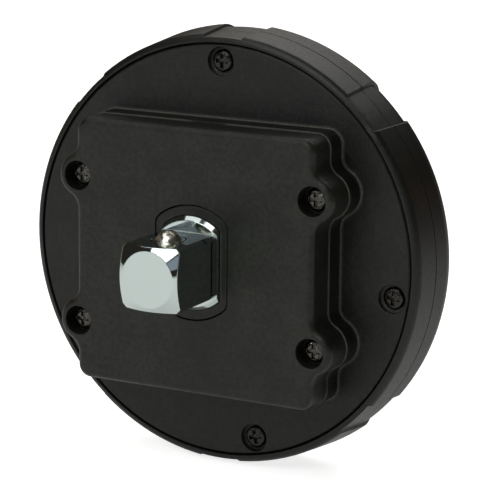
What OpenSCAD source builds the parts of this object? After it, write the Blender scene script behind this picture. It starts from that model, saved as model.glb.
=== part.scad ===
// Digital torque angle gauge: a round case on a square drive shaft, with a battery box on its rear plate.
// Every piece is drawn with the drive axis along z, the rear plate's face at z = 0 and the drive end up.
// placed() then stands the gauge upright on its rim, with the origin at the centre of the drive's shoulder.

/* [Drive shaft] */
// Width across the flats of the male square
square_w = 12.7; // [11:0.1:14]
// Length of the male square beyond its shoulder
square_len = 16.1; // [13:0.1:20]
// Depth turned off the four long edges of the square, along the diagonal
square_edge_cut = 0.55; // [0.2:0.05:1]
// Diameter of the flat circle on the end of the square
end_flat_d = 11.2; // [8:0.1:12]
// Slope of the turned end around that circle, in degrees
end_slope = 30; // [15:1:45]
// Diameter of the collar behind the square
collar_d = 19; // [17:0.1:21]
// Length of the collar
collar_len = 5; // [3:0.1:7]
// Bevel around the collar's outer edge
collar_bevel = 0.8; // [0.3:0.1:1.2]
// Height of the shoulder above the battery cover
collar_proud = 1; // [0.4:0.1:2]
// Depth by which the measuring neck is turned below the flats of the square
neck_cut = 0.35; // [0.2:0.05:1]
// Depth of the four flats that carry the strain gauges
neck_flat = 0.4; // [0.2:0.05:0.8]
// Width across the flats of the female square
socket_w = 12.85; // [11.2:0.05:14.2]
// Depth of the female square
socket_depth = 14; // [11:0.1:16]
// Diameter of the round end that holds the female square
socket_boss_d = 22; // [21:0.1:24]
// Width of the flange lip at the front of the shaft
flange_lip = 1.4; // [0.8:0.1:2]
// Thickness of metal behind the female square
socket_web = 0.9; // [0.6:0.1:2]
// Radius of the detent dimples inside the female square
dimple_r = 2.2; // [1:0.1:2.6]

/* [Detent] */
// Diameter of the detent ball
ball_d = 5.5; // [4:0.1:6]
// Height of the ball above the face of the square
ball_out = 1.95; // [1:0.05:2.5]
// Distance of the ball from the shoulder
ball_from_shoulder = 7.8; // [6:0.1:8.5]
// Running gap around the ball
ball_gap = 0.05; // [0.02:0.01:0.1]
// Diameter and depth of the staking ring around the ball's hole
stake_d = 7; // [6.4:0.1:8]
stake_depth = 0.25; // [0.1:0.05:0.5]
// Length of the detent spring at rest
detent_spring_len = 5; // [4:0.1:6]
// Wire diameter of the detent spring
detent_wire = 0.5; // [0.3:0.05:0.7]

/* [Case] */
// Diameter of the rear plate
plate_d = 84; // [80:0.5:96]
// Thickness of the rear plate
plate_t = 2.4; // [2.2:0.1:3]
// Gap between the rear plate and the rim
seam_gap = 0.3; // [0.15:0.05:0.6]
// Radius of the rim's rear edge
rear_round = 1.6; // [1:0.1:2.2]
// Thickness of the rim outside the plate's gap at its widest
rim_wall = 2.5; // [2.3:0.1:4]
// Depth of the rear half of the rim
rear_depth = 7; // [5.5:0.1:8]
// Radius of the case's front edge
front_round = 6; // [4:0.1:7]
// Width of the flat bezel around the front panel
bezel_w = 2; // [1:0.1:3]
// Depth of the front panel below the bezel
panel_sink = 1.3; // [1:0.1:2]
// Thickness of the front panel overlay
overlay_t = 0.8; // [0.5:0.1:1.2]
// Thickness of the front wall behind the overlay
front_wall = 1.8; // [1.2:0.1:2.4]
// Start and height of the slope inside the case's front edge
inner_slope_out = 0.8; // [0.4:0.1:1.2]
inner_slope_h = 2.4; // [2:0.1:3]
// Wall of the tube that holds the shaft
hub_wall = 2.8; // [2:0.1:3]
// Radial gap between the shaft and the tube
hub_gap = 0.2; // [0.1:0.05:0.4]
// Depth to which the shaft's front face stays behind the bezel
mouth_sink = 0.3; // [0.2:0.05:0.6]
// Width, depth and end slope of the finger notches in the rim
notch_w = 10.9; // [8:0.1:14]
notch_depth = 0.6; // [0.4:0.05:1]
notch_ramp = 0.4; // [0.2:0.05:1]
// Angles of the finger notches around the rim
notch_angles = [45, 90, 135, 225, 270, 315];
// Half width and depth of the groove that shows as a line between the rim halves
groove_half_w = 0.15; // [0.1:0.01:0.3]
groove_in = 0.8; // [0.6:0.05:1.2]

/* [Battery box] */
// Diameter and length of one cell
cell_d = 10.5; // [10:0.1:11]
cell_len = 44.5; // [43:0.1:46]
// Free space beside each cell
bay_gap = 1.75; // [0.6:0.05:3]
// Free height above and below each cell
cell_gap = 0.15; // [0.1:0.05:0.4]
// Depth of the bay's floor below the plate's face
bay_sink = 0.6; // [0.2:0.1:0.8]
// Space for the contact spring at the end of a cell
spring_space = 5.1; // [4:0.1:7]
// Thickness of the contact plates
contact_t = 0.4; // [0.3:0.05:0.6]
// Width and height of the contact plates
contact_w = 8; // [6:0.1:9]
// Side wall and top wall of the battery cover
cover_wall = 1.65; // [1.2:0.05:2]
cover_top_t = 1.4; // [1:0.1:2]
// Step from the lower wall of the box to the cover
seam_step = 0.35; // [0.1:0.05:0.6]
// Height of the lower wall of the box above the plate
base_h = 4.7; // [3.5:0.1:6]
// Corner radius of the box
box_corner_r = 3; // [2:0.1:5]
// Radius of the cover's top edge
cover_round = 1.3; // [0.6:0.1:1.6]
// Distance of the ears from the middle of the box
ear_y = 15; // [13:0.1:16]
// Radius of the ears that hold the cover's screws
ear_r = 4.9; // [4.6:0.1:5.4]
// Distance from the middle of an ear to the box wall
ear_inset = 0.7; // [0.5:0.1:1.5]
// Radius of the hollow blend between ear and wall
blend_r = 3; // [2:0.1:4]
// Fine step where the blend ends at ear and wall
blend_step = 0.02; // [0.01:0.01:0.1]
// Overlap of the cover's ears and blends
blend_lap = 0.1; // [0.05:0.01:0.2]
// Radius of the screw post inside each ear
post_r = 4.4; // [4:0.1:4.5]
// Wall of the shaft tower beside the flats and at its rounded ends
tower_side = 1.4; // [1:0.1:2]
tower_end = 1.75; // [1.2:0.05:2.2]
// Corner radius of the tower
tower_corner_r = 2; // [1:0.1:3]
// Gap between the collar and the tower
collar_gap = 0.15; // [0.1:0.05:0.3]
// Gap between the tower and the cover
tower_gap = 0.3; // [0.15:0.05:0.5]
// Width, height and depth of the slot for prying off the cover
pry_w = 8; // [5:0.5:10]
pry_h = 0.7; // [0.4:0.1:1]
pry_depth = 0.8; // [0.4:0.1:1.2]

/* [Screws] */
// Head diameter and height of the cover's screws
cover_head_d = 4.7; // [4:0.1:5]
cover_head_h = 1.8; // [1.2:0.1:2.2]
// Shank diameter and length of the cover's screws
cover_shank_d = 2.8; // [2:0.1:3]
cover_shank_len = 7.5; // [6:0.1:8]
// Diameter of the hole above a cover screw and depth of the head in it
cover_bore_d = 6; // [5.4:0.1:6.4]
cover_head_sink = 1.7; // [1:0.1:2.6]
// Angles of the four screws of the rear plate
case_screw_angles = [90, -7.6, -77.6, -152];
// Distance of those screws from the plate's edge
case_screw_inset = 3.4; // [3.2:0.1:4]
// Head diameter and height of the rear plate's screws
case_head_d = 4.5; // [3.6:0.1:5]
case_head_h = 1.1; // [0.8:0.1:1.3]
// Shank diameter and length of the rear plate's screws
case_shank_d = 2.4; // [2:0.1:2.6]
case_shank_len = 8; // [6:0.1:9]
// Diameter of the hole above a plate screw and depth of the head in it
case_bore_d = 5.8; // [5.2:0.1:6]
case_head_sink = 0.45; // [0.1:0.05:0.6]
// Radius of the posts behind the rear plate
case_post_r = 3.6; // [3.4:0.1:4]
// Size of the cross recess in a screw head: arm width, share of the head's width, depth
cross_w = 0.75; // [0.5:0.05:1]
cross_share = 0.62; // [0.5:0.01:0.7]
cross_depth = 0.8; // [0.4:0.1:0.9]

/* [Display and keys] */
// Width and height of the display window
window_w = 34; // [28:0.5:36]
window_h = 14.6; // [10:0.1:15]
// Height of the window's middle above the drive axis
window_y = 23.7; // [23:0.1:25]
// Corner radius of the window
window_r = 1.5; // [0.5:0.1:3]
// Lip of the window behind the front wall: width and thickness
window_lip = 1.5; // [0.8:0.1:1.7]
window_lip_t = 0.8; // [0.5:0.1:1]
// Thickness of the display module
lcd_t = 2; // [1.5:0.1:2.1]
// Width of the display module's frame beyond the window
lcd_border = 1.8; // [1:0.1:2]
// Diameter of a key
key_d = 8; // [6:0.1:9]
// Height of a key above the panel
key_proud = 1; // [0.3:0.1:1]
// Distance of the keys from the drive axis
key_circle_r = 25; // [22:0.5:28]
// Angle between neighbouring keys
key_pitch = 30; // [28:1:34]
// Gap around a key
key_gap = 0.2; // [0.1:0.05:0.4]
// Width and thickness of the flange behind the wall
key_lip = 0.9; // [0.5:0.1:1.1]
key_lip_t = 0.6; // [0.4:0.1:0.8]
// Play of a key behind the front wall
key_play = 0.1; // [0.05:0.05:0.2]
// Travel of a key
key_travel = 0.5; // [0.3:0.05:0.6]
// Diameter of the indicator lights
led_d = 3; // [2:0.1:4]
// Position of the indicator lights beside and above the drive axis
led_x = 25.5; // [22:0.5:27]
led_y = 6; // [2:0.5:8]

/* [Electronics] */
// Thickness of the circuit board
board_t = 1.6; // [1:0.1:2]
// Distance of the board behind the front wall
board_standoff = 3.1; // [3:0.1:3.6]
// Gap of the board to the tube and to the posts
board_gap = 0.6; // [0.3:0.1:1]
// Distance of the board's screws from the drive axis and their angles
board_screw_r = 31; // [30:0.5:32]
board_screw_angles = [20, 160, 270];
// Radius of the board's posts
board_post_r = 2.4; // [2:0.1:2.6]
// Head and shank of the board's screws
board_head_d = 3.6; // [3:0.1:4.2]
board_head_h = 1.2; // [0.8:0.1:1.6]
board_shank_d = 1.8; // [1.4:0.1:2.2]
board_shank_len = 4; // [3:0.1:4.5]
// Side of a key switch and height of its plunger
switch_w = 6; // [4:0.1:7]
plunger_h = 0.45; // [0.3:0.05:0.6]
// Diameter and height of the buzzer
buzzer_d = 12; // [9:0.5:13]
buzzer_h = 4; // [3:0.1:5]
// Side and height of the processor, and side of the motion sensor
chip_w = 10; // [7:0.5:11]
chip_h = 1.4; // [1:0.1:2]
sensor_w = 5; // [3:0.5:6]
// Length, width and thickness of a strain gauge
gauge_l = 6; // [4:0.5:7]
gauge_w = 3.2; // [2:0.1:3.6]
gauge_t = 0.12; // [0.08:0.01:0.2]
// Thickness and rim width of the shaft's retaining ring
ring_t = 1.2; // [0.8:0.1:1.5]
ring_rim = 1.9; // [1.4:0.1:2.4]
// Width of the slot in the retaining ring
ring_slot = 4; // [3:0.1:6]
// Depth of a ring groove in the shaft
groove_depth = 0.75; // [0.5:0.05:0.9]
// Cord diameter of the shaft's sealing ring
seal_d = 0.8; // [0.6:0.05:0.9]

/* [Hidden] */
$fn = 96;
eps = 0.01;
cut = 1;

plate_r = plate_d / 2;
plate_in_z = -plate_t;
rim_gap_r = plate_r + seam_gap;
rim_rear_r = rim_gap_r + rear_round;
rim_r = rim_gap_r + rim_wall;
plate_skin = 1.3;
boss_top_z = -bay_sink - plate_skin - 0.1;
mouth_z = boss_top_z - socket_web - socket_depth;
front_z = mouth_z - mouth_sink;
round_z = front_z + front_round;
seam_z = -rear_depth;
seam_r = rim_rear_r + (rim_r - rim_rear_r) * (seam_z + rear_round) / (round_z + rear_round);
bezel_out_r = rim_r - front_round;
panel_r = bezel_out_r - bezel_w;
panel_z = front_z + panel_sink;
wall_out_z = panel_z + overlay_t;
wall_in_z = wall_out_z + front_wall;
board_z = wall_in_z + board_standoff;
board_back_z = board_z + board_t;
ledge_r = plate_r - 1.8;
spigot_gap = 0.1;
spigot_len = 2.5;

boss_r = socket_boss_d / 2;
flange_r = boss_r + flange_lip;
hub_in_r = boss_r + hub_gap;
hub_out_r = hub_in_r + hub_wall;
hub_end_z = board_back_z + 1.4;
seal_z = (wall_out_z + hub_end_z) / 2;

half_square = square_w / 2;
collar_r = collar_d / 2;
tower_half_w = half_square + collar_gap + tower_side;
tower_r = collar_r + collar_gap + tower_end;
cell_r = cell_d / 2;
cell_x = tower_half_w + bay_gap + cell_r;
ear_x = cell_x + cell_r + bay_gap + post_r;
base_half_w = ear_x + ear_inset;
bay_half_len = (cell_len + spring_space) / 2;
box_wall = seam_step + cover_wall;
base_half_h = bay_half_len + contact_t + box_wall;
bay_z = -bay_sink;
cell_z = bay_z + cell_gap + cell_r;
cover_in_z = cell_z + cell_r + cell_gap;
cover_top_z = cover_in_z + cover_top_t;
blend_dx = ear_inset + blend_r;
blend_dy = sqrt(pow(ear_r + blend_r, 2) - pow(blend_dx, 2));
cover_seat_z = cover_top_z - cover_head_sink - cover_head_h;
nub_r = 1.9;
nub_len = 0.8;

shoulder_z = cover_top_z + collar_proud;
square_end_z = shoulder_z + square_len;
collar_z = shoulder_z - collar_len;
neck_r = half_square - neck_cut;
neck_flat_r = neck_r - neck_flat;
square_corner_r = half_square * sqrt(2) - square_edge_cut;
end_flat_r = end_flat_d / 2;
end_drop = (square_corner_r - end_flat_r) * tan(end_slope);
ball_r = ball_d / 2;
ball_y = half_square + ball_out - ball_r;
ball_z = shoulder_z + ball_from_shoulder;
detent_seat_y = ball_y - ball_r - detent_spring_len;

case_screw_r = plate_r - case_screw_inset;
case_seat_z = -case_head_sink - case_head_h;
board_r = case_screw_r - case_post_r - board_gap;
key_r = key_d / 2;
key_top_z = panel_z - key_proud;
key_lip_z = wall_in_z + key_play;
switch_top_z = key_lip_z + key_lip_t + key_travel + 0.05;
led_r = led_d / 2;
lcd_w = window_w + 2 * (window_lip + lcd_border);
lcd_h = window_h + 2 * lcd_border;
lcd_z = wall_in_z + window_lip_t + 0.1;
hole_gap = 0.2;

module placed() {
  rotate([90, 0, 0])
    translate([0, 0, -shoulder_z])
      children();
}

module between(z0, z1) {
  translate([0, 0, z0])
    linear_extrude(height = z1 - z0)
      children();
}

module post(r, z0, z1) {
  translate([0, 0, z0])
    cylinder(r = r, h = z1 - z0);
}

module around(angles, r) {
  for (a = angles)
    rotate(a)
      translate([r, 0])
        children();
}

module four_ways(x, y) {
  for (sx = [-1, 1], sy = [-1, 1])
    translate([sx * x, sy * y])
      children();
}

module rounded_rect(w, h, r) {
  square([w - 2 * r, h], center = true);
  square([w, h - 2 * r], center = true);
  four_ways(w / 2 - r, h / 2 - r)
    circle(r);
}

// Circle of radius r cut by two flats at x = -h and x = h, its corners rounded by c
module double_d(r, h, c) {
  y_c = sqrt(pow(r - c, 2) - pow(h - c, 2));
  square([2 * h, 2 * y_c], center = true);
  four_ways(h - c, y_c)
    circle(c);
  intersection() {
    circle(r);
    for (s = [-1, 1])
      polygon([[0, 0], [2 * (h - c), s * 2 * y_c], [-2 * (h - c), s * 2 * y_c]]);
  }
}

// Outline of the box with its four screw ears and hollow blends, drawn in by inset
module box_outline(inset) {
  rounded_rect(2 * (base_half_w - inset), 2 * (base_half_h - inset), box_corner_r - inset);
  four_ways(ear_x, ear_y)
    circle(ear_r - inset);
  each_half_ear()
    difference() {
      blend_patch();
      translate([blend_dx, blend_dy])
        circle(blend_r + inset);
    }
}

module each_half_ear() {
  for (mx = [0, 1], my = [0, 1], half = [0, 1])
    mirror([mx, 0])
      mirror([0, my])
        translate([ear_x, ear_y])
          mirror([0, half])
            children();
}

// Plan of one side of an ear, from its middle to the centre of the hollow blend
module blend_patch() {
  polygon([[-2 * cut, 0], [-2 * cut, blend_dy], [blend_dx, blend_dy], [0, 0]]);
}

// Side view of a block whose two upper edges are rounded
module domed_profile(half, z0, z1, r) {
  translate([-half, z0])
    square([2 * half, z1 - r - z0]);
  translate([r - half, z0])
    square([2 * (half - r), z1 - z0]);
  for (s = [-1, 1])
    translate([s * (half - r), z1 - r])
      circle(r);
}

module pan_screw(head_d, head_h, shank_d, shank_len) {
  arm = head_d * cross_share;
  difference() {
    union() {
      rotate_extrude()
        polygon([[0, 0], [head_d / 2, 0], [head_d / 2, head_h * 0.55],
          [head_d * 0.42, head_h * 0.85], [head_d * 0.28, head_h], [0, head_h]]);
      post(shank_d / 2, -shank_len, eps);
    }
    translate([0, 0, head_h - cross_depth / 2 + eps]) {
      cube([arm, cross_w, cross_depth], center = true);
      cube([cross_w, arm, cross_depth], center = true);
    }
  }
}

// Round wire wound along z from 0 to len
module coil(r, wire, len, turns) {
  sides = 8;
  steps = 18 * turns;
  lift = len - wire;
  points = [for (i = [0 : steps], k = [0 : sides - 1])
    let (a = 360 * turns * i / steps, b = 360 * k / sides, q = r + wire / 2 * cos(b))
      [q * cos(a), q * sin(a), wire / 2 + lift * i / steps + wire / 2 * sin(b)]];
  walls = [for (i = [0 : steps - 1], k = [0 : sides - 1])
    let (n = (k + 1) % sides)
      [i * sides + k, (i + 1) * sides + k, (i + 1) * sides + n, i * sides + n]];
  caps = [[for (k = [0 : sides - 1]) k], [for (k = [sides - 1 : -1 : 0]) steps * sides + k]];
  polyhedron(points, concat(walls, caps));
}

module torque_shaft() {
  color("#c9cdcb")
    placed()
      difference() {
        union() {
          drive_square();
          intersection() {
            rotate_extrude()
              polygon([[0, collar_z], [collar_r, collar_z], [collar_r, shoulder_z - collar_bevel],
                [collar_r - collar_bevel, shoulder_z], [0, shoulder_z]]);
            between(collar_z, shoulder_z)
              square([square_w, 2 * collar_d], center = true);
          }
          neck();
          rotate_extrude()
            polygon([[0, mouth_z], [flange_r - 0.4, mouth_z], [flange_r, mouth_z + 0.4], [flange_r, wall_out_z],
              [boss_r, wall_out_z], [boss_r, boss_top_z - 0.6], [boss_r - 0.6, boss_top_z], [0, boss_top_z]]);
        }
        between(mouth_z - cut, mouth_z + socket_depth)
          square(socket_w, center = true);
        for (a = [0 : 90 : 270])
          rotate(a)
            translate([socket_w / 2, 0, mouth_z + socket_depth / 2])
              sphere(r = dimple_r);
        ring_groove(hub_end_z, ring_t + 0.1);
        ring_groove(seal_z - 0.6, 1.2);
        translate([0, detent_seat_y, ball_z])
          rotate([-90, 0, 0])
            post(ball_r + ball_gap, 0, square_w);
        translate([0, half_square - stake_depth, ball_z])
          rotate([-90, 0, 0])
            difference() {
              post(stake_d / 2, 0, cut);
              post(ball_r + ball_gap + 0.35, -cut, stake_depth);
            }
      }
}

module drive_square() {
  intersection() {
    between(shoulder_z - eps, square_end_z)
      square(square_w, center = true);
    rotate_extrude()
      polygon([[0, shoulder_z - cut], [square_corner_r, shoulder_z - cut],
        [square_corner_r, square_end_z - end_drop], [end_flat_r, square_end_z], [0, square_end_z]]);
  }
}

module neck() {
  intersection() {
    post(neck_r, boss_top_z - eps, collar_z + eps);
    between(boss_top_z - cut, collar_z + cut)
      square(2 * neck_flat_r, center = true);
  }
  post(neck_r, boss_top_z - eps, boss_top_z + 1);
}

module ring_groove(z, len) {
  difference() {
    post(boss_r + cut, z, z + len);
    post(boss_r - groove_depth, z - cut, z + len + cut);
  }
}

module detent_ball() {
  color("#cfc9bb")
    placed()
      translate([0, ball_y, ball_z])
        sphere(r = ball_r);
}

module detent_spring() {
  color("#8d9092")
    placed()
      translate([0, detent_seat_y, ball_z])
        rotate([-90, 0, 0])
          coil(ball_r - detent_wire, detent_wire, detent_spring_len, 5);
}

module strain_gauges() {
  color("#c98b3a")
    placed()
      for (a = [0 : 90 : 270])
        rotate(a)
          translate([neck_flat_r, -gauge_w / 2, (boss_top_z + 1 + collar_z - gauge_l) / 2])
            cube([gauge_t, gauge_w, gauge_l]);
}

module retaining_ring() {
  color("#55585a")
    placed()
      difference() {
        post(boss_r - groove_depth + ring_rim, hub_end_z, hub_end_z + ring_t);
        post(boss_r - groove_depth + 0.05, hub_end_z - cut, hub_end_z + ring_t + cut);
        between(hub_end_z - cut, hub_end_z + ring_t + cut)
          translate([-ring_slot / 2, 0])
            square([ring_slot, 2 * boss_r]);
      }
}

module shaft_seal() {
  color("#1c1c1c")
    placed()
      translate([0, 0, seal_z])
        rotate_extrude()
          translate([boss_r - groove_depth + seal_d / 2 + 0.05, 0])
            circle(d = seal_d, $fn = 24);
}

module rear_plate() {
  color("#26282a")
    placed()
      difference() {
        union() {
          rotate_extrude()
            polygon([[0, plate_in_z], [plate_r, plate_in_z], [plate_r, -0.35], [plate_r - 0.35, 0], [0, 0]]);
          between(-eps, base_h)
            box_outline(0);
          between(base_h - eps, cover_top_z)
            double_d(tower_r, tower_half_w, tower_corner_r);
        }
        difference() {
          between(bay_z, cover_top_z + cut)
            rounded_rect(2 * (base_half_w - box_wall), 2 * (base_half_h - box_wall), box_corner_r);
          between(bay_z - cut, cover_top_z + cut)
            double_d(tower_r, tower_half_w, tower_corner_r);
          four_ways(ear_x, ear_y)
            post(post_r, bay_z - cut, base_h);
          cell_saddles();
        }
        between(plate_in_z, cover_top_z + cut)
          double_d(collar_r + collar_gap, half_square + collar_gap, 0.6);
        post(boss_r + hub_gap, plate_in_z - cut, boss_top_z + 0.1);
        four_ways(ear_x, ear_y)
          post(cover_shank_d / 2 + hole_gap / 2, cover_seat_z - cover_shank_len - 0.3, base_h + cut);
        around(case_screw_angles, case_screw_r) {
          post(case_bore_d / 2, case_seat_z, cut);
          post(case_shank_d / 2 + hole_gap, plate_in_z - cut, cut);
        }
      }
}

// Two low saddles under each cell
module cell_saddles() {
  saddle_t = 2;
  saddle_h = 1.8;
  saddle_w = cell_d - 2;
  for (sx = [-1, 1], sy = [-1, 1])
    difference() {
      translate([sx * cell_x - saddle_w / 2, (sy * cell_len / 2 - saddle_t) / 2, bay_z - cut])
        cube([saddle_w, saddle_t, cut + saddle_h]);
      translate([sx * cell_x, (sy * cell_len / 2 - saddle_t) / 2 - cut, cell_z])
        rotate([-90, 0, 0])
          cylinder(r = cell_r + 0.05, h = saddle_t + 2 * cut);
    }
}

// Finger notches of even depth, over the round front edge too
module notch_cutters() {
  reach = 2;
  slope = notch_ramp / notch_depth;
  wide = notch_w / 2 + reach * slope;
  narrow = notch_w / 2 - front_round * slope;
  difference() {
    for (a = notch_angles)
      rotate(a)
        between(front_z - cut, cut)
          polygon([[rim_r + reach, -wide], [rim_r + reach, wide],
            [rim_r - front_round, narrow], [rim_r - front_round, -narrow]]);
    rotate_extrude()
      notch_core();
  }
}

// Side view of what stays inside the notches
module notch_core() {
  polygon([[0, round_z], [rim_r - notch_depth, round_z], [rim_rear_r - notch_depth, -rear_round],
    [rim_rear_r - notch_depth, 2 * cut], [0, 2 * cut]]);
  translate([0, front_z - 2 * cut])
    square([bezel_out_r, front_round + 2 * cut]);
  intersection() {
    translate([bezel_out_r, round_z])
      circle(front_round - notch_depth);
    translate([bezel_out_r, front_z])
      square(front_round);
  }
}

module rear_rim() {
  color("#2b2d2e")
    placed()
      difference() {
        rotate_extrude()
          difference() {
            polygon([[rim_gap_r, 0], [rim_rear_r, 0], [rim_rear_r, -rear_round], [seam_r, seam_z + groove_half_w],
              [seam_r - groove_in, seam_z], [plate_r - spigot_gap, seam_z],
              [plate_r - spigot_gap, seam_z - spigot_len], [ledge_r, seam_z - spigot_len],
              [ledge_r, plate_in_z], [rim_gap_r, plate_in_z]]);
            translate([rim_gap_r, -rear_round])
              difference() {
                square(rear_round + cut);
                circle(rear_round);
              }
          }
        notch_cutters();
        around(case_screw_angles, case_screw_r)
          post(case_post_r + hole_gap, seam_z - spigot_len - cut, plate_in_z + eps);
      }
}

module front_case() {
  color("#2b2d2e")
    placed()
      difference() {
        union() {
          rotate_extrude()
            case_profile();
          around(case_screw_angles, case_screw_r)
            post(case_post_r, wall_in_z - eps, plate_in_z);
          around(board_screw_angles, board_screw_r)
            post(board_post_r, wall_in_z - eps, board_z);
        }
        notch_cutters();
        around(case_screw_angles, case_screw_r)
          post(case_shank_d / 2 + hole_gap / 4, case_seat_z - case_shank_len - 0.3, cut);
        around(board_screw_angles, board_screw_r)
          post(board_shank_d / 2 + hole_gap / 4, wall_in_z, board_z + cut);
        front_openings(wall_out_z - cut, wall_in_z + cut);
      }
}

module case_profile() {
  difference() {
    union() {
      polygon([[0, round_z], [rim_r, round_z], [seam_r, seam_z - groove_half_w],
        [seam_r - groove_in, seam_z], [0, seam_z]]);
      translate([0, front_z])
        square([bezel_out_r, front_round]);
      intersection() {
        translate([bezel_out_r, round_z])
          circle(front_round);
        translate([bezel_out_r, front_z])
          square(front_round);
      }
      translate([0, wall_out_z])
        square([hub_out_r, hub_end_z - wall_out_z]);
    }
    polygon([[hub_out_r, wall_in_z], [bezel_out_r + inner_slope_out, wall_in_z],
      [plate_r, wall_in_z + inner_slope_h], [plate_r, cut], [0, cut], [0, hub_end_z], [hub_out_r, hub_end_z]]);
    translate([0, front_z - cut])
      square([panel_r, wall_out_z - front_z + cut]);
    translate([0, front_z - cut])
      square([hub_in_r, 2 * plate_r]);
  }
}

// Holes for the display, keys and lights
module front_openings(z0, z1) {
  between(z0, z1)
    translate([0, window_y])
      rounded_rect(window_w + 2 * hole_gap, window_h + 2 * hole_gap, window_r + hole_gap);
  around(key_angles(), key_circle_r)
    post(key_r + key_gap, z0, z1);
  for (s = [-1, 1])
    translate([s * led_x, led_y])
      post(led_r + hole_gap / 2, z0, z1);
}

function key_angles() = [for (i = [-1.5 : 1 : 1.5]) -90 + i * key_pitch];

module front_overlay() {
  color("#17181a")
    placed()
      difference() {
        post(panel_r - 0.15, panel_z, wall_out_z);
        post(flange_r + hole_gap, panel_z - cut, wall_out_z + cut);
        front_openings(panel_z - cut, wall_out_z + cut);
      }
}

module display_window() {
  color("#9fb0b4", 0.5)
    placed()
      translate([0, window_y]) {
        between(panel_z, wall_in_z + eps)
          rounded_rect(window_w, window_h, window_r);
        between(wall_in_z, wall_in_z + window_lip_t)
          rounded_rect(window_w + 2 * window_lip, window_h + 2 * window_lip, window_r + window_lip);
      }
}

module lcd_module() {
  color("#7f8a7c")
    placed()
      between(lcd_z, lcd_z + lcd_t)
        translate([0, window_y])
          square([lcd_w, lcd_h], center = true);
}

module circuit_board() {
  color("#1f5b3a")
    placed()
      difference() {
        post(board_r, board_z, board_back_z);
        post(hub_out_r + board_gap, board_z - cut, board_back_z + cut);
        around(board_screw_angles, board_screw_r)
          post(board_shank_d / 2 + hole_gap / 2, board_z - cut, board_back_z + cut);
      }
}

module board_chips() {
  chip_mid = (hub_out_r + board_r) / 2;
  color("#202124")
    placed()
      translate([0, 0, board_back_z]) {
        rotate(-30)
          translate([chip_mid, 0, chip_h / 2])
            cube([chip_w, chip_w, chip_h], center = true);
        rotate(35)
          translate([chip_mid, 0, chip_h / 2])
            cube([sensor_w, sensor_w, chip_h], center = true);
      }
}

module buzzer() {
  color("#18191b")
    placed()
      rotate(215)
        translate([(hub_out_r + board_r) / 2, 0])
          difference() {
            post(buzzer_d / 2, board_back_z, board_back_z + buzzer_h);
            post(1, board_back_z + buzzer_h / 2, board_back_z + buzzer_h + cut);
          }
}

module key_switches() {
  color("#3a3c3f")
    placed()
      around(key_angles(), key_circle_r) {
        between(switch_top_z + plunger_h, board_z)
          square(switch_w, center = true);
        post(1.2, switch_top_z, switch_top_z + plunger_h + eps);
      }
}

module indicator_lights() {
  color("#d8dcd8")
    placed()
      for (s = [-1, 1])
        translate([s * led_x, led_y]) {
          post(led_r, panel_z + 0.2, board_z);
          post(led_r + 0.4, board_z - 1.2, board_z);
        }
}

module key(i) {
  color("#34373a")
    placed()
      around([key_angles()[i]], key_circle_r) {
        rotate_extrude()
          polygon([[0, key_top_z], [key_r - 0.5, key_top_z], [key_r, key_top_z + 0.5], [key_r, key_lip_z],
            [key_r + key_lip, key_lip_z], [key_r + key_lip, key_lip_z + key_lip_t],
            [0, key_lip_z + key_lip_t]]);
      }
}

module key_power() {
  key(3);
}

module key_mode() {
  key(2);
}

module key_up() {
  key(1);
}

module key_down() {
  key(0);
}

module battery_cover() {
  color("#2c2e30")
    placed()
      difference() {
        union() {
          cover_block();
          each_half_ear()
            cover_half_ear();
        }
        difference() {
          between(base_h - cut, cover_in_z)
            rounded_rect(2 * (base_half_w - box_wall), 2 * (base_half_h - box_wall), box_corner_r);
          four_ways(ear_x, ear_y)
            post(post_r - seam_step, base_h - cut, cover_top_z);
        }
        between(base_h - cut, cover_top_z + cut)
          double_d(tower_r + tower_gap, tower_half_w + tower_gap, tower_corner_r + tower_gap);
        four_ways(ear_x, ear_y) {
          post(cover_bore_d / 2, cover_seat_z, cover_top_z + cut);
          post(cover_shank_d / 2 + hole_gap, base_h - cut, cover_top_z);
        }
        translate([-pry_w / 2, base_half_h - seam_step - pry_depth, base_h - cut])
          cube([pry_w, pry_depth + cut, cut + pry_h]);
      }
}

// Block of the cover with rounded upper edges, left open where the ears go
module cover_block() {
  half_w = base_half_w - seam_step;
  half_h = base_half_h - seam_step;
  corner_r = box_corner_r - seam_step;
  difference() {
    union() {
      rotate([90, 0, 0])
        linear_extrude(height = 2 * (half_h - corner_r), center = true)
          domed_profile(half_w, base_h, cover_top_z, cover_round);
      rotate([90, 0, 90])
        linear_extrude(height = 2 * (half_w - corner_r), center = true)
          domed_profile(half_h, base_h, cover_top_z, cover_round);
      for (mx = [0, 1], my = [0, 1])
        mirror([mx, 0])
          mirror([0, my])
            translate([half_w - corner_r, half_h - corner_r])
              cover_corner(corner_r);
    }
    each_half_ear()
      translate([-cut, -eps, base_h - cut])
        cube([ear_r, blend_dy + eps, cover_top_z]);
  }
}

// Quarter round corner of the cover, rounded along the top edge
module cover_corner(r) {
  intersection() {
    rotate_extrude()
      intersection() {
        domed_profile(r, base_h, cover_top_z, cover_round);
        translate([0, base_h])
          square([r, cover_top_z]);
      }
    translate([0, 0, base_h - cut])
      cube([2 * r, 2 * r, cover_top_z]);
  }
}

// Half of a screw ear of the cover with its hollow blend, rounded along the top edge
module cover_half_ear() {
  intersection() {
    rotate_extrude()
      intersection() {
        domed_profile(ear_r - seam_step, base_h, cover_top_z, cover_round);
        translate([0, base_h])
          square([ear_r, cover_top_z]);
      }
    between(base_h - cut, cover_top_z + cut)
      polygon([[0, 0], [2 * ear_r, 0], [blend_dx - blend_lap, blend_dy]]);
  }
  difference() {
    between(base_h, cover_top_z)
      blend_patch();
    translate([blend_dx, blend_dy])
      rotate_extrude()
        flared_profile(blend_r + seam_step + blend_step, base_h - cut, cover_top_z, cover_round);
  }
}

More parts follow.
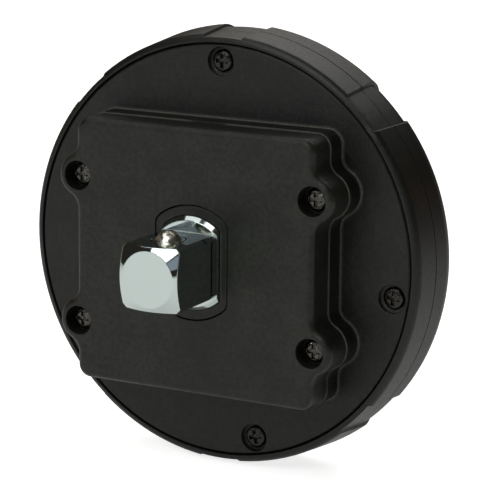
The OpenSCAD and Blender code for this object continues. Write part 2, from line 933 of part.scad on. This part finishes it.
// Side view of a round cutter that widens towards the top along a quarter circle
module flared_profile(r, z0, z1, flare) {
  translate([0, z0])
    square([r, z1 + cut - z0]);
  difference() {
    translate([0, z1 - flare])
      square([r + flare, flare + eps]);
    translate([r + flare, z1 - flare])
      circle(flare);
  }
}

module battery(s) {
  color("#7c6a35")
    placed()
      translate([s * cell_x, 0, cell_z])
        rotate([-90 * s, 0, 0])
          rotate_extrude()
            polygon([[0, bay_half_len], [nub_r, bay_half_len], [nub_r, bay_half_len - nub_len],
              [cell_r - 0.4, bay_half_len - nub_len], [cell_r, bay_half_len - nub_len - 0.4],
              [cell_r, bay_half_len - cell_len + 0.4], [cell_r - 0.4, bay_half_len - cell_len],
              [0, bay_half_len - cell_len]]);
}

module battery_left() {
  battery(-1);
}

module battery_right() {
  battery(1);
}

module battery_contacts() {
  color("#b9bdbf")
    placed()
      for (sx = [-1, 1], sy = [-1, 1])
        translate([sx * cell_x - contact_w / 2, sy * (bay_half_len + contact_t / 2) - contact_t / 2, bay_z])
          cube([contact_w, contact_t, contact_w]);
}

module battery_springs() {
  spring_r = 2.8;
  spring_wire = 0.7;
  color("#b9bdbf")
    placed()
      for (s = [-1, 1])
        translate([s * cell_x, -s * bay_half_len, cell_z - 0.5])
          rotate([-90 * s, 0, 0])
            coil(spring_r, spring_wire, spring_space, 4);
}

module cover_screws() {
  color("#3a3b3c")
    placed()
      four_ways(ear_x, ear_y)
        translate([0, 0, cover_seat_z])
          pan_screw(cover_head_d, cover_head_h, cover_shank_d, cover_shank_len);
}

module case_screws() {
  color("#2f3031")
    placed()
      around(case_screw_angles, case_screw_r)
        translate([0, 0, case_seat_z])
          pan_screw(case_head_d, case_head_h, case_shank_d, case_shank_len);
}

module board_screws() {
  color("#b4b7b8")
    placed()
      around(board_screw_angles, board_screw_r)
        translate([0, 0, board_back_z])
          pan_screw(board_head_d, board_head_h, board_shank_d, board_shank_len);
}

torque_shaft();
detent_ball();
detent_spring();
strain_gauges();
retaining_ring();
shaft_seal();
rear_plate();
rear_rim();
front_case();
front_overlay();
display_window();
lcd_module();
circuit_board();
board_chips();
buzzer();
key_switches();
indicator_lights();
key_power();
key_mode();
key_up();
key_down();
battery_cover();
battery_left();
battery_right();
battery_contacts();
battery_springs();
cover_screws();
case_screws();
board_screws();
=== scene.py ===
"""Looks of the torque angle gauge: finishes, display marks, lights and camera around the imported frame."""
import math

import bmesh
import bpy
from mathutils import Matrix, Vector


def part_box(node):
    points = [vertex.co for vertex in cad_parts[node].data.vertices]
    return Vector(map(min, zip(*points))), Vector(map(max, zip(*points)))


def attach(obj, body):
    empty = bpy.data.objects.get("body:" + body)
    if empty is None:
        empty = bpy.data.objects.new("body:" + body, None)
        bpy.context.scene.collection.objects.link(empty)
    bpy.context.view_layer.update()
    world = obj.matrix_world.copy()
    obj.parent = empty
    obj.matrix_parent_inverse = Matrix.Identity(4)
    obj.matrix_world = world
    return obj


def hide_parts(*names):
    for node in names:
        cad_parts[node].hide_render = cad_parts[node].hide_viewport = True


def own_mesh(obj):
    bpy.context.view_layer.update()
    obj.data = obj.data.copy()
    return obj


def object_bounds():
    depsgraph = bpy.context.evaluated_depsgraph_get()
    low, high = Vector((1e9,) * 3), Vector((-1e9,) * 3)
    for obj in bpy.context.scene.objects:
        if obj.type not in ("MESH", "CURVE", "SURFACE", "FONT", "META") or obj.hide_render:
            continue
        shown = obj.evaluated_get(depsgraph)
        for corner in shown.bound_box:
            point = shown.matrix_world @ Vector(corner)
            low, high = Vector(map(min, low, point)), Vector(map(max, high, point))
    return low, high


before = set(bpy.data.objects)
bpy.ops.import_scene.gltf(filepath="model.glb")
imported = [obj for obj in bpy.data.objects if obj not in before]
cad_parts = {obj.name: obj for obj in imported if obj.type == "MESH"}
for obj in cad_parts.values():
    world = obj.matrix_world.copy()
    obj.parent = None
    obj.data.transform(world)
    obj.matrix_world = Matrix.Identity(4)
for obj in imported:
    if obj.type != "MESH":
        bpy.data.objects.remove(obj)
cad_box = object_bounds()
MM = 0.001


def linear(code):
    """sRGB hex code to a linear colour."""
    parts = [int(code[i:i + 2], 16) / 255 for i in (1, 3, 5)]
    return tuple(c / 12.92 if c <= 0.04045 else ((c + 0.055) / 1.055) ** 2.4 for c in parts) + (1.0,)


def repeats(width_mm):
    """Scale of a pattern whose features are this wide."""
    return 1 / (width_mm * MM)


def add(tree, kind, links=None, values=None, **settings):
    """Adds one node: settings are its properties, values its input constants, links its input sources."""
    made = tree.nodes.new(kind)
    for key, value in settings.items():
        setattr(made, key, value)
    for key, value in (values or {}).items():
        made.inputs[key].default_value = value
    for key, source in (links or {}).items():
        tree.links.new(source, made.inputs[key])
    return made


def new_finish(name):
    """An empty material and its node tree."""
    material = bpy.data.materials.new(name)
    material.use_nodes = True
    material.node_tree.nodes.clear()
    return material, material.node_tree


CLOUD_MM = 7
FLECK_TO_GRAIN = 2.6
GLOSS_SPREAD = 0.07
# Reach and radii of the pale corner specks, which are partly dust and partly painted highlight.
DUST_AND_HIGHLIGHT_REACH_MM = 0.8
DUST_AND_HIGHLIGHT_INNER_MM = 40
DUST_AND_HIGHLIGHT_OUTER_MM = 41.2
# Reach of the painted shade in the parting groove.
PAINTED_SHADE_REACH_MM = 0.6


def moulded(name, dark, light, grain_mm, depth_mm, rough, edge_mm, specular=0.5, dust_and_highlight=None, painted_groove_shade=None):
    """Moulded plastic and rubber, films and inks.

    A cloud some millimetres wide shifts the tone, the grain breaks up the gloss, and the edges catch
    a soft line of light. Pale specks in inner corners within the plate's edge are partly dust and partly
    a painted highlight along the foot, and a painted shade makes a deep parting groove dull and black.
    """
    material, tree = new_finish(name)
    place = add(tree, "ShaderNodeTexCoord").outputs["Object"]
    cloud = add(tree, "ShaderNodeTexNoise", {"Vector": place}, {"Scale": repeats(CLOUD_MM), "Detail": 4.0})
    grain = add(tree, "ShaderNodeTexNoise", {"Vector": place}, {"Scale": repeats(grain_mm), "Detail": 2.0})
    fleck = add(tree, "ShaderNodeTexNoise", {"Vector": place},
                {"Scale": repeats(FLECK_TO_GRAIN * grain_mm), "Detail": 1.0})
    blend = add(tree, "ShaderNodeMath", {0: cloud.outputs[0], 1: fleck.outputs[0]}, operation="MULTIPLY")
    share = add(tree, "ShaderNodeMapRange", {"Value": blend.outputs[0]},
                {"From Min": 0.14, "From Max": 0.38})
    tone = add(tree, "ShaderNodeMixRGB", {"Fac": share.outputs[0]},
               {"Color1": linear(dark), "Color2": linear(light)})
    # Painted highlight, partly dust: pale specks where inner corners are close, standing in for the light
    # line of a fillet.
    if dust_and_highlight:
        corner = add(tree, "ShaderNodeAmbientOcclusion", values={"Distance": DUST_AND_HIGHLIGHT_REACH_MM * MM}, samples=12)
        near = add(tree, "ShaderNodeMapRange", {"Value": corner.outputs["AO"]},
                   {"From Min": 0.95, "From Max": 0.6, "To Max": 1.6})
        flat = add(tree, "ShaderNodeVectorMath", {0: place}, {1: (1, 0, 1)}, operation="MULTIPLY")
        out = add(tree, "ShaderNodeVectorMath", {0: flat.outputs[0]}, operation="LENGTH")
        inside = add(tree, "ShaderNodeMapRange", {"Value": out.outputs["Value"]},
                     {"From Min": DUST_AND_HIGHLIGHT_OUTER_MM * MM, "From Max": DUST_AND_HIGHLIGHT_INNER_MM * MM})
        specks_and_highlight = add(tree, "ShaderNodeMath", {0: near.outputs[0], 1: grain.outputs[0]},
                     operation="MULTIPLY")
        specks_and_highlight = add(tree, "ShaderNodeMath", {0: specks_and_highlight.outputs[0], 1: inside.outputs[0]},
                     operation="MULTIPLY", use_clamp=True)
        tone = add(tree, "ShaderNodeMixRGB", {"Fac": specks_and_highlight.outputs[0], "Color1": tone.outputs[0]},
                   {"Color2": linear(dust_and_highlight)})
    gloss = add(tree, "ShaderNodeMapRange", {"Value": grain.outputs[0]},
                {"From Min": 0.3, "From Max": 0.7,
                 "To Min": rough - GLOSS_SPREAD, "To Max": rough + GLOSS_SPREAD})
    # Painted shade: the parting groove turns black and dull where the occlusion is deep.
    if painted_groove_shade:
        gap = add(tree, "ShaderNodeAmbientOcclusion", values={"Distance": PAINTED_SHADE_REACH_MM * MM}, samples=12)
        unshaded_share = add(tree, "ShaderNodeMapRange", {"Value": gap.outputs["AO"]},
                    {"From Min": 0.4, "From Max": 0.8})
        tone = add(tree, "ShaderNodeMixRGB", {"Fac": unshaded_share.outputs[0], "Color2": tone.outputs[0]},
                   {"Color1": linear(painted_groove_shade)})
        gloss = add(tree, "ShaderNodeMapRange", {"Value": unshaded_share.outputs[0], "To Max": gloss.outputs[0]},
                    {"To Min": 0.95})
    edge = add(tree, "ShaderNodeBevel", values={"Radius": edge_mm * MM}, samples=6)
    bump = add(tree, "ShaderNodeBump", {"Height": grain.outputs[0], "Normal": edge.outputs[0]},
               {"Strength": 0.6, "Distance": depth_mm * MM})
    body = add(tree, "ShaderNodeBsdfPrincipled",
               {"Base Color": tone.outputs[0], "Roughness": gloss.outputs[0], "Normal": bump.outputs[0]},
               {"IOR": 1.53, "Specular IOR Level": specular})
    add(tree, "ShaderNodeOutputMaterial", {"Surface": body.outputs[0]})
    return material


def bright_metal(name, code, rough, haze_mm, edge_mm, mark_mm):
    """Plated metal: clear reflections, dulled here and there by handling, with marks in the plating."""
    material, tree = new_finish(name)
    place = add(tree, "ShaderNodeTexCoord").outputs["Object"]
    haze = add(tree, "ShaderNodeTexNoise", {"Vector": place}, {"Scale": repeats(haze_mm), "Detail": 5.0})
    gloss = add(tree, "ShaderNodeMapRange", {"Value": haze.outputs[0]},
                {"From Min": 0.35, "From Max": 0.7, "To Min": rough * 0.6, "To Max": rough * 1.5})
    edge = add(tree, "ShaderNodeBevel", values={"Radius": edge_mm * MM}, samples=6)
    bump = add(tree, "ShaderNodeBump", {"Height": haze.outputs[0], "Normal": edge.outputs[0]},
               {"Strength": 0.2, "Distance": mark_mm * MM})
    body = add(tree, "ShaderNodeBsdfPrincipled", {"Roughness": gloss.outputs[0], "Normal": bump.outputs[0]},
               {"Base Color": linear(code), "Metallic": 1.0})
    add(tree, "ShaderNodeOutputMaterial", {"Surface": body.outputs[0]})
    return material


SMUDGE_MM = 4


def clear_plastic(name, code, rough, amount):
    """Clear or milky acrylic, with finger smudges in its gloss."""
    material, tree = new_finish(name)
    place = add(tree, "ShaderNodeTexCoord").outputs["Object"]
    smudge = add(tree, "ShaderNodeTexNoise", {"Vector": place}, {"Scale": repeats(SMUDGE_MM), "Detail": 3.0})
    gloss = add(tree, "ShaderNodeMapRange", {"Value": smudge.outputs[0]},
                {"From Min": 0.4, "From Max": 0.7, "To Min": rough, "To Max": rough * 2})
    body = add(tree, "ShaderNodeBsdfPrincipled", {"Roughness": gloss.outputs[0]},
               {"Base Color": linear(code), "IOR": 1.49, "Transmission Weight": amount})
    add(tree, "ShaderNodeOutputMaterial", {"Surface": body.outputs[0]})
    return material


# Moulded ABS of the case: a warm near-black with a dull sheen. The spark eroded grain of the mould is drawn
# about three times as coarse as the real one, so that it shows in the render.
cover_abs = moulded("textured_abs_cover", "#0a0d07", "#20231a", grain_mm=0.36, depth_mm=0.06, rough=0.47,
                    edge_mm=0.25, specular=0.33)
# The plate's grain is deeper and darker. Pale specks along the foot of the box are partly dust and partly a
# painted highlight standing in for the light line of the foot's fillet.
plate_abs = moulded("textured_abs_plate", "#060804", "#191b15", grain_mm=0.4, depth_mm=0.1, rough=0.48,
                    edge_mm=0.3, specular=0.33, dust_and_highlight="#5a5b54")
# The rim is smoother from handling and takes a satin streak of light; its parting groove is painted black and
# dull as shade.
rim_abs = moulded("satin_abs_rim", "#0b0d0a", "#191a15", grain_mm=0.35, depth_mm=0.06, rough=0.42,
                  edge_mm=0.2, specular=0.32, painted_groove_shade="#020202")
# Soft moulded silicone: charcoal, matt, with no clear reflection.
key_rubber = moulded("soft_silicone_key", "#2b2d2f", "#36383a", grain_mm=0.12, depth_mm=0.01, rough=0.66,
                     edge_mm=0.3, specular=0.4)
# Polyester panel film with a fine velvet face: an even blue-black with a light sheen.
panel_film = moulded("printed_panel_film", "#0c0e10", "#111315", grain_mm=0.1, depth_mm=0.004, rough=0.32,
                     edge_mm=0.1)
# Screen printed ink: flat light grey.
print_ink = moulded("screen_print_ink", "#8f9496", "#a3a8aa", grain_mm=0.08, depth_mm=0.002, rough=0.5,
                    edge_mm=0.02)
# Reflective polariser of the display: a dull grey-green.
lcd_film = moulded("reflective_lcd_film", "#8b9485", "#98a191", grain_mm=0.3, depth_mm=0.001, rough=0.4,
                   edge_mm=0.02)
# Switched liquid crystal: nearly black against the film.
lcd_ink = moulded("liquid_crystal_segment", "#15181a", "#1d2123", grain_mm=0.1, depth_mm=0.001, rough=0.4,
                  edge_mm=0.02)
# Cured solder mask over glass weave: deep green and slightly glossy.
board_mask = moulded("board_solder_mask", "#12472c", "#1b5a38", grain_mm=0.5, depth_mm=0.004, rough=0.35,
                     edge_mm=0.05)
# Transfer moulded epoxy: matt black with a fine tooth.
chip_epoxy = moulded("moulded_chip_epoxy", "#111213", "#1b1c1d", grain_mm=0.15, depth_mm=0.006, rough=0.55,
                     edge_mm=0.05)
# Moulded nitrile rubber: matt black.
seal_rubber = moulded("nitrile_seal", "#131313", "#1c1c1c", grain_mm=0.1, depth_mm=0.004, rough=0.65,
                      edge_mm=0.05)
# Heat shrunk sleeve: smooth blue plastic with a clear sheen.
cell_sleeve = moulded("shrunk_cell_sleeve", "#23407a", "#2c4d8c", grain_mm=0.6, depth_mm=0.003, rough=0.3,
                      edge_mm=0.1)
# Polyimide film over etched foil: amber, half glossy.
foil_film = moulded("gauge_foil_film", "#9a6b2a", "#b98338", grain_mm=0.2, depth_mm=0.002, rough=0.45,
                    edge_mm=0.02)
# Bright chrome on ground steel: a cool mirror, very slightly wavy, with edges worn round.
chrome = bright_metal("chrome_plated_steel", "#bfcac7", rough=0.07, haze_mm=2.5, edge_mm=0.3, mark_mm=0.02)
# Nickel on a tumbled ball: warmer and softer than the chrome.
nickel = bright_metal("nickel_plated_ball", "#e8e4d6", rough=0.3, haze_mm=0.8, edge_mm=0.02, mark_mm=0.004)
# Black zinc over a cold formed head: dark with broken glints. Its marks are drawn much deeper than real
# ones, so that the glints show in the render.
black_zinc = bright_metal("black_zinc_screw", "#55534e", rough=0.08, haze_mm=0.6, edge_mm=0.2, mark_mm=2.5)
# Black oxide: the same kind of head, duller and darker, with its marks drawn deeper for the same reason.
black_oxide = bright_metal("black_oxide_screw", "#383734", rough=0.18, haze_mm=0.5, edge_mm=0.2, mark_mm=0.6)
# Bright zinc on drawn or stamped steel: light grey with a soft gleam.
zinc_steel = bright_metal("bright_zinc_steel", "#b9bdbe", rough=0.28, haze_mm=0.8, edge_mm=0.05,
                          mark_mm=0.004)
# Cast acrylic, polished: clear, with a sharp reflection.
window_acrylic = clear_plastic("clear_window_acrylic", "#eef2f1", rough=0.02, amount=1.0)
# Moulded acrylic with a filler: milky, so that the light behind it can't be made out.
lens_acrylic = clear_plastic("milky_lens_acrylic", "#dfe6dd", rough=0.25, amount=0.6)

FINISH = {
    chrome: ["torque_shaft"],
    nickel: ["detent_ball"],
    cover_abs: ["battery_cover"],
    plate_abs: ["rear_plate"],
    rim_abs: ["rear_rim", "front_case"],
    black_zinc: ["cover_screws"],
    black_oxide: ["case_screws"],
    zinc_steel: ["detent_spring", "retaining_ring", "key_switches", "battery_contacts", "battery_springs",
                 "board_screws"],
    panel_film: ["front_overlay"],
    window_acrylic: ["display_window"],
    lens_acrylic: ["indicator_lights"],
    lcd_film: ["lcd_module"],
    key_rubber: ["key_power", "key_mode", "key_up", "key_down"],
    board_mask: ["circuit_board"],
    chip_epoxy: ["board_chips", "buzzer"],
    seal_rubber: ["shaft_seal"],
    cell_sleeve: ["battery_left", "battery_right"],
    foil_film: ["strain_gauges"],
}
for material, names in FINISH.items():
    for name in names:
        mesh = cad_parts[name].data
        mesh.materials.clear()
        mesh.materials.append(material)

# The coil under the ball gives way 2 mm of its 5 mm length as the ball goes in; here it is only copied into a
# mesh of its own on the gauge, in place of the imported one.
drawn_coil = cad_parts["detent_spring"]
coil = bpy.data.objects.new("detent_coil", drawn_coil.data.copy())
coil.matrix_world = drawn_coil.matrix_world.copy()
bpy.context.scene.collection.objects.link(coil)
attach(coil, "gauge")
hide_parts("detent_spring")
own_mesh(coil)


def flat_marks(name, outlines, face, low, high, material, body):
    """Thin printed or displayed marks over a face of the display side.

    Each outline is in mm, as seen from that side; the marks stand from low to high above the face.
    """
    work = bmesh.new()
    for outline in outlines:
        low_ring = [work.verts.new((-u * MM, (face + low) * MM, v * MM)) for u, v in outline]
        top_ring = [work.verts.new((-u * MM, (face + high) * MM, v * MM)) for u, v in outline]
        work.faces.new(low_ring)
        work.faces.new(top_ring)
        for i in range(len(outline)):
            j = (i + 1) % len(outline)
            work.faces.new((low_ring[i], low_ring[j], top_ring[j], top_ring[i]))
    bmesh.ops.recalc_face_normals(work, faces=work.faces)
    mesh = bpy.data.meshes.new(name)
    work.to_mesh(mesh)
    work.free()
    mesh.materials.append(material)
    made = bpy.data.objects.new(name, mesh)
    bpy.context.scene.collection.objects.link(made)
    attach(made, body)


def block(u, v, w, h):
    """A rectangle from its lower left corner."""
    return [(u, v), (u + w, v), (u + w, v + h), (u, v + h)]


def bar(u, v, w, h):
    """A bar around u, v with pointed ends along its longer side."""
    t = min(w, h) / 2
    if w > h:
        points = [(-w / 2, 0), (t - w / 2, t), (w / 2 - t, t), (w / 2, 0), (w / 2 - t, -t), (t - w / 2, -t)]
    else:
        points = [(0, -h / 2), (t, t - h / 2), (t, h / 2 - t), (0, h / 2), (-t, h / 2 - t), (-t, t - h / 2)]
    return [(u + x, v + y) for x, y in points]


def arc_band(u, v, inner, outer, start, stop, parts):
    """A band of a ring between two angles in degrees, as quads."""
    made = []
    for i in range(parts):
        a, b = (math.radians(start + (stop - start) * k / parts) for k in (i, i + 1))
        made.append([(u + r * math.cos(t), v + r * math.sin(t))
                     for r, t in ((inner, a), (outer, a), (outer, b), (inner, b))])
    return made


def frame_band(u, v, w, h, radius, width, parts=8):
    """A rounded rectangular frame made of straight bands and corner bands."""
    made = []
    for s in (-1, 1):
        made.append([(u + s * (w / 2 - width), v - h / 2 + radius), (u + s * w / 2, v - h / 2 + radius),
                     (u + s * w / 2, v + h / 2 - radius), (u + s * (w / 2 - width), v + h / 2 - radius)])
        made.append([(u - w / 2 + radius, v + s * (h / 2 - width)), (u - w / 2 + radius, v + s * h / 2),
                     (u + w / 2 - radius, v + s * h / 2), (u + w / 2 - radius, v + s * (h / 2 - width))])
    for quarter, (su, sv) in enumerate(((1, 1), (-1, 1), (-1, -1), (1, -1))):
        made += arc_band(u + su * (w / 2 - radius), v + sv * (h / 2 - radius), radius - width, radius,
                         90 * quarter, 90 * quarter + 90, parts)
    return made


SEGMENTS = {"0": "abcdef", "1": "bc", "3": "abcdg", "5": "acdfg", "9": "abcdfg"}
SEGMENT_GAP = 0.12
DIGIT_LEAN = 0.09


def digit(sign, u, v, w, h, t):
    """Seven segment digit with its middle at u, v."""
    across = w - SEGMENT_GAP * t
    down = h / 2 - SEGMENT_GAP * t
    spots = {"a": (0, h / 2, across, t), "d": (0, -h / 2, across, t), "g": (0, 0, across, t),
             "b": (w / 2, h / 4, t, down), "c": (w / 2, -h / 4, t, down),
             "f": (-w / 2, h / 4, t, down), "e": (-w / 2, -h / 4, t, down)}
    made = []
    for part in SEGMENTS[sign]:
        made.append([(u + x + DIGIT_LEAN * y, v + y) for x, y in bar(*spots[part])])
    return made


def middle_seen(node):
    """Middle of a CAD node in mm, as seen from the display side, and the height of its front."""
    low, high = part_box(node)
    return -(low[0] + high[0]) / 2 / MM, (low[2] + high[2]) / 2 / MM, high[1] / MM


# The display shows a torque, an angle with its ring and a battery sign.
window_u, window_v = middle_seen("display_window")[:2]
lcd_front = middle_seen("lcd_module")[2]
# Each reading: its text, place of the first digit and pitch across, rise from the window's middle,
# and width, height and stroke of a digit.
READINGS = (("1350", -13.4, 5.9, -0.9, 3.6, 7.6, 0.9), ("90", 9.4, 3.3, -2.6, 1.9, 4.0, 0.5))
marks = []
for text, first, pitch, rise, w, h, t in READINGS:
    for k, sign in enumerate(text):
        marks += digit(sign, window_u + first + pitch * k, window_v + rise, w, h, t)
marks.append(block(window_u + 1.05, window_v - 5.2, 0.9, 0.9))
marks += arc_band(window_u + 14.6, window_v - 0.2, 0.35, 0.65, 0, 360, 16)
marks += frame_band(window_u - 13.2, window_v + 5.4, 3.6, 1.7, 0.3, 0.25, 3)
for u, w, h in ((-14.6, 1.0, 0.8), (-13.3, 1.0, 0.8), (-11.35, 0.35, 0.6)):
    marks.append(block(window_u + u, window_v + 5.4 - h / 2, w, h))
flat_marks("lcd_segments", marks, lcd_front, 0.01, 0.05, lcd_ink, "gauge")

# Printed on the panel are a frame around the window and a ring around each key.
INK_MM = 0.02
panel_front = middle_seen("front_overlay")[2]
keys = {name: middle_seen(name) for name in ("key_down", "key_up", "key_mode", "key_power")}
panel_print = frame_band(window_u, window_v, 37.6, 18.2, 2.6, 0.4)
for u, v, _ in keys.values():
    panel_print += arc_band(u, v, 4.75, 5.05, 0, 360, 40)
flat_marks("panel_print", panel_print, panel_front, 0, INK_MM, print_ink, "gauge")

# Each key carries its own sign.
for name, (u, v, key_front) in keys.items():
    if name == "key_power":
        shapes = arc_band(u, v, 1.25, 1.6, 120, 420, 30) + [bar(u, v + 1.1, 0.36, 1.7)]
    elif name == "key_mode":
        shapes = [bar(u, v + line, 2.8, 0.4) for line in (-0.95, 0, 0.95)]
    else:
        s = 1 if name == "key_up" else -1
        shapes = [[(u - 1.5, v - 0.9 * s), (u + 1.5, v - 0.9 * s), (u, v + 1.4 * s)]]
    flat_marks(name + "_print", shapes, key_front, 0, INK_MM, print_ink, name)

# White paper under the gauge: evenly white to look at. In reflections it carries a painted glow, bright in
# front and fading to dark behind.
PULP_MM = 1.5
TABLE_HALF_M = 6.0
paper, tree = new_finish("white_paper_table")
path = add(tree, "ShaderNodeLightPath")
seen = add(tree, "ShaderNodeMath", {0: path.outputs["Is Camera Ray"], 1: path.outputs["Is Transmission Ray"]},
           operation="MAXIMUM")
place = add(tree, "ShaderNodeTexCoord").outputs["Object"]
depth = add(tree, "ShaderNodeSeparateXYZ", {0: place})
# Painted reflection: a glow seen only in reflections, fading from the front of the paper to the back.
fade = add(tree, "ShaderNodeMapRange", {"Value": depth.outputs["Y"]},
           {"From Min": 0.0, "From Max": 0.3, "To Min": 0.37, "To Max": 0.05})
glow = add(tree, "ShaderNodeMath", {0: path.outputs["Is Glossy Ray"], 1: fade.outputs[0]},
           operation="MULTIPLY")
glow = add(tree, "ShaderNodeMath", {0: seen.outputs[0], 2: glow.outputs[0]}, {1: 0.8},
           operation="MULTIPLY_ADD")
pulp = add(tree, "ShaderNodeTexNoise", {"Vector": place}, {"Scale": repeats(PULP_MM), "Detail": 3.0})
tint = add(tree, "ShaderNodeMixRGB", {"Fac": pulp.outputs[0]},
           {"Color1": linear("#f4f4f2"), "Color2": linear("#efefed")})
matt = add(tree, "ShaderNodeBsdfPrincipled",
           {"Base Color": tint.outputs[0], "Emission Strength": glow.outputs[0]},
           {"Roughness": 0.9, "Emission Color": linear("#ffffff")})
add(tree, "ShaderNodeOutputMaterial", {"Surface": matt.outputs[0]})

work = bmesh.new()
bmesh.ops.create_grid(work, x_segments=8, y_segments=8, size=TABLE_HALF_M)
mesh = bpy.data.meshes.new("paper_table")
work.to_mesh(mesh)
work.free()
mesh.materials.append(paper)
table = bpy.data.objects.new("paper_table", mesh)
table.location = (0, 0, cad_box[0][2])
bpy.context.scene.collection.objects.link(table)

# The room is dim and brownish in reflections and plain white behind the gauge.
world = bpy.data.worlds.new("dim_studio")
bpy.context.scene.world = world
world.use_nodes = True
tree = world.node_tree
tree.nodes.clear()
path = add(tree, "ShaderNodeLightPath")
room = add(tree, "ShaderNodeBackground", values={"Color": linear("#57504a"), "Strength": 0.3})
white = add(tree, "ShaderNodeBackground", values={"Color": linear("#ffffff"), "Strength": 1.0})
sky = add(tree, "ShaderNodeMixShader",
          {0: path.outputs["Is Camera Ray"], 1: room.outputs[0], 2: white.outputs[0]})
add(tree, "ShaderNodeOutputWorld", {"Surface": sky.outputs[0]})


def softbox(name, azimuth, elevation, distance, width, height, watts, code):
    """An area lamp aimed at the gauge, in degrees and metres; azimuth 0 is the drive side and 90 is +X."""
    lamp = bpy.data.lights.new(name, "AREA")
    lamp.shape = "RECTANGLE"
    lamp.size = width
    lamp.size_y = height
    lamp.energy = watts
    lamp.color = linear(code)[:3]
    made = bpy.data.objects.new(name, lamp)
    a, e = math.radians(azimuth), math.radians(elevation)
    made.location = distance * Vector((math.sin(a) * math.cos(e), -math.cos(a) * math.cos(e), math.sin(e)))
    made.rotation_euler = (-made.location).to_track_quat("-Z", "Y").to_euler()
    bpy.context.scene.collection.objects.link(made)


# The key lights the drive side and whitens the chrome's upper edges.
softbox("key_softbox", -4, 48, 1.0, 0.66, 0.74, 4.1, "#ffffff")
# Card and strip give the corner between square and collar its grey bands.
softbox("front_card", -28, 4.5, 1.0, 0.8, 0.17, 0.42, "#eef4ff")
softbox("front_strip", -28, 12.3, 1.0, 0.8, 0.01, 0.018, "#eef4ff")
# A small lamp for points of light on screws and ball.
softbox("small_lamp", -14, 26, 1.0, 0.07, 0.07, 0.6, "#ffffff")
# The next three draw the light along the rim.
softbox("top_strip", -75, 64, 1.0, 0.7, 0.4, 1.1, "#ffffff")
softbox("warm_lamp", -119, 6, 0.8, 0.3, 0.3, 0.2, "#ffc98f")
softbox("back_card", -163, 23, 1.0, 0.6, 0.36, 0.45, "#fff6ea")
# The display side has its own light.
softbox("display_fill", 180, 52, 1.0, 0.9, 0.5, 3.4, "#ffffff")
# Two dim cards tint the chrome's right chamfer blue and the rim's right side brown.
softbox("blue_card", 24, 18, 1.0, 0.24, 0.26, 0.08, "#dfeaff")
softbox("brown_card", 150, 6, 1.0, 0.3, 0.12, 0.06, "#c08050")

# The camera stands where the photograph was taken from, fitted to the plate, the box and the square.
EYE_MM = (226.77, -400.54, 105.29)
AIM_MM = (0, 12.6, 0)
ROLL_DEGREES = 0.39
camera = bpy.data.cameras.new("photo_camera")
camera.lens = 176.33
camera.sensor_width = 36
camera.shift_x = 0.0522
camera.shift_y = 0.01406
camera.clip_start = 0.01
eye = bpy.data.objects.new("photo_camera", camera)
eye.location = Vector(EYE_MM) * MM
aim = Vector(AIM_MM) * MM - eye.location
turn = aim.to_track_quat("-Z", "Y").to_matrix() @ Matrix.Rotation(math.radians(ROLL_DEGREES), 3, "Z")
eye.rotation_euler = turn.to_euler()
bpy.context.scene.collection.objects.link(eye)
bpy.context.scene.camera = eye
bpy.context.scene.view_settings.view_transform = "Standard"
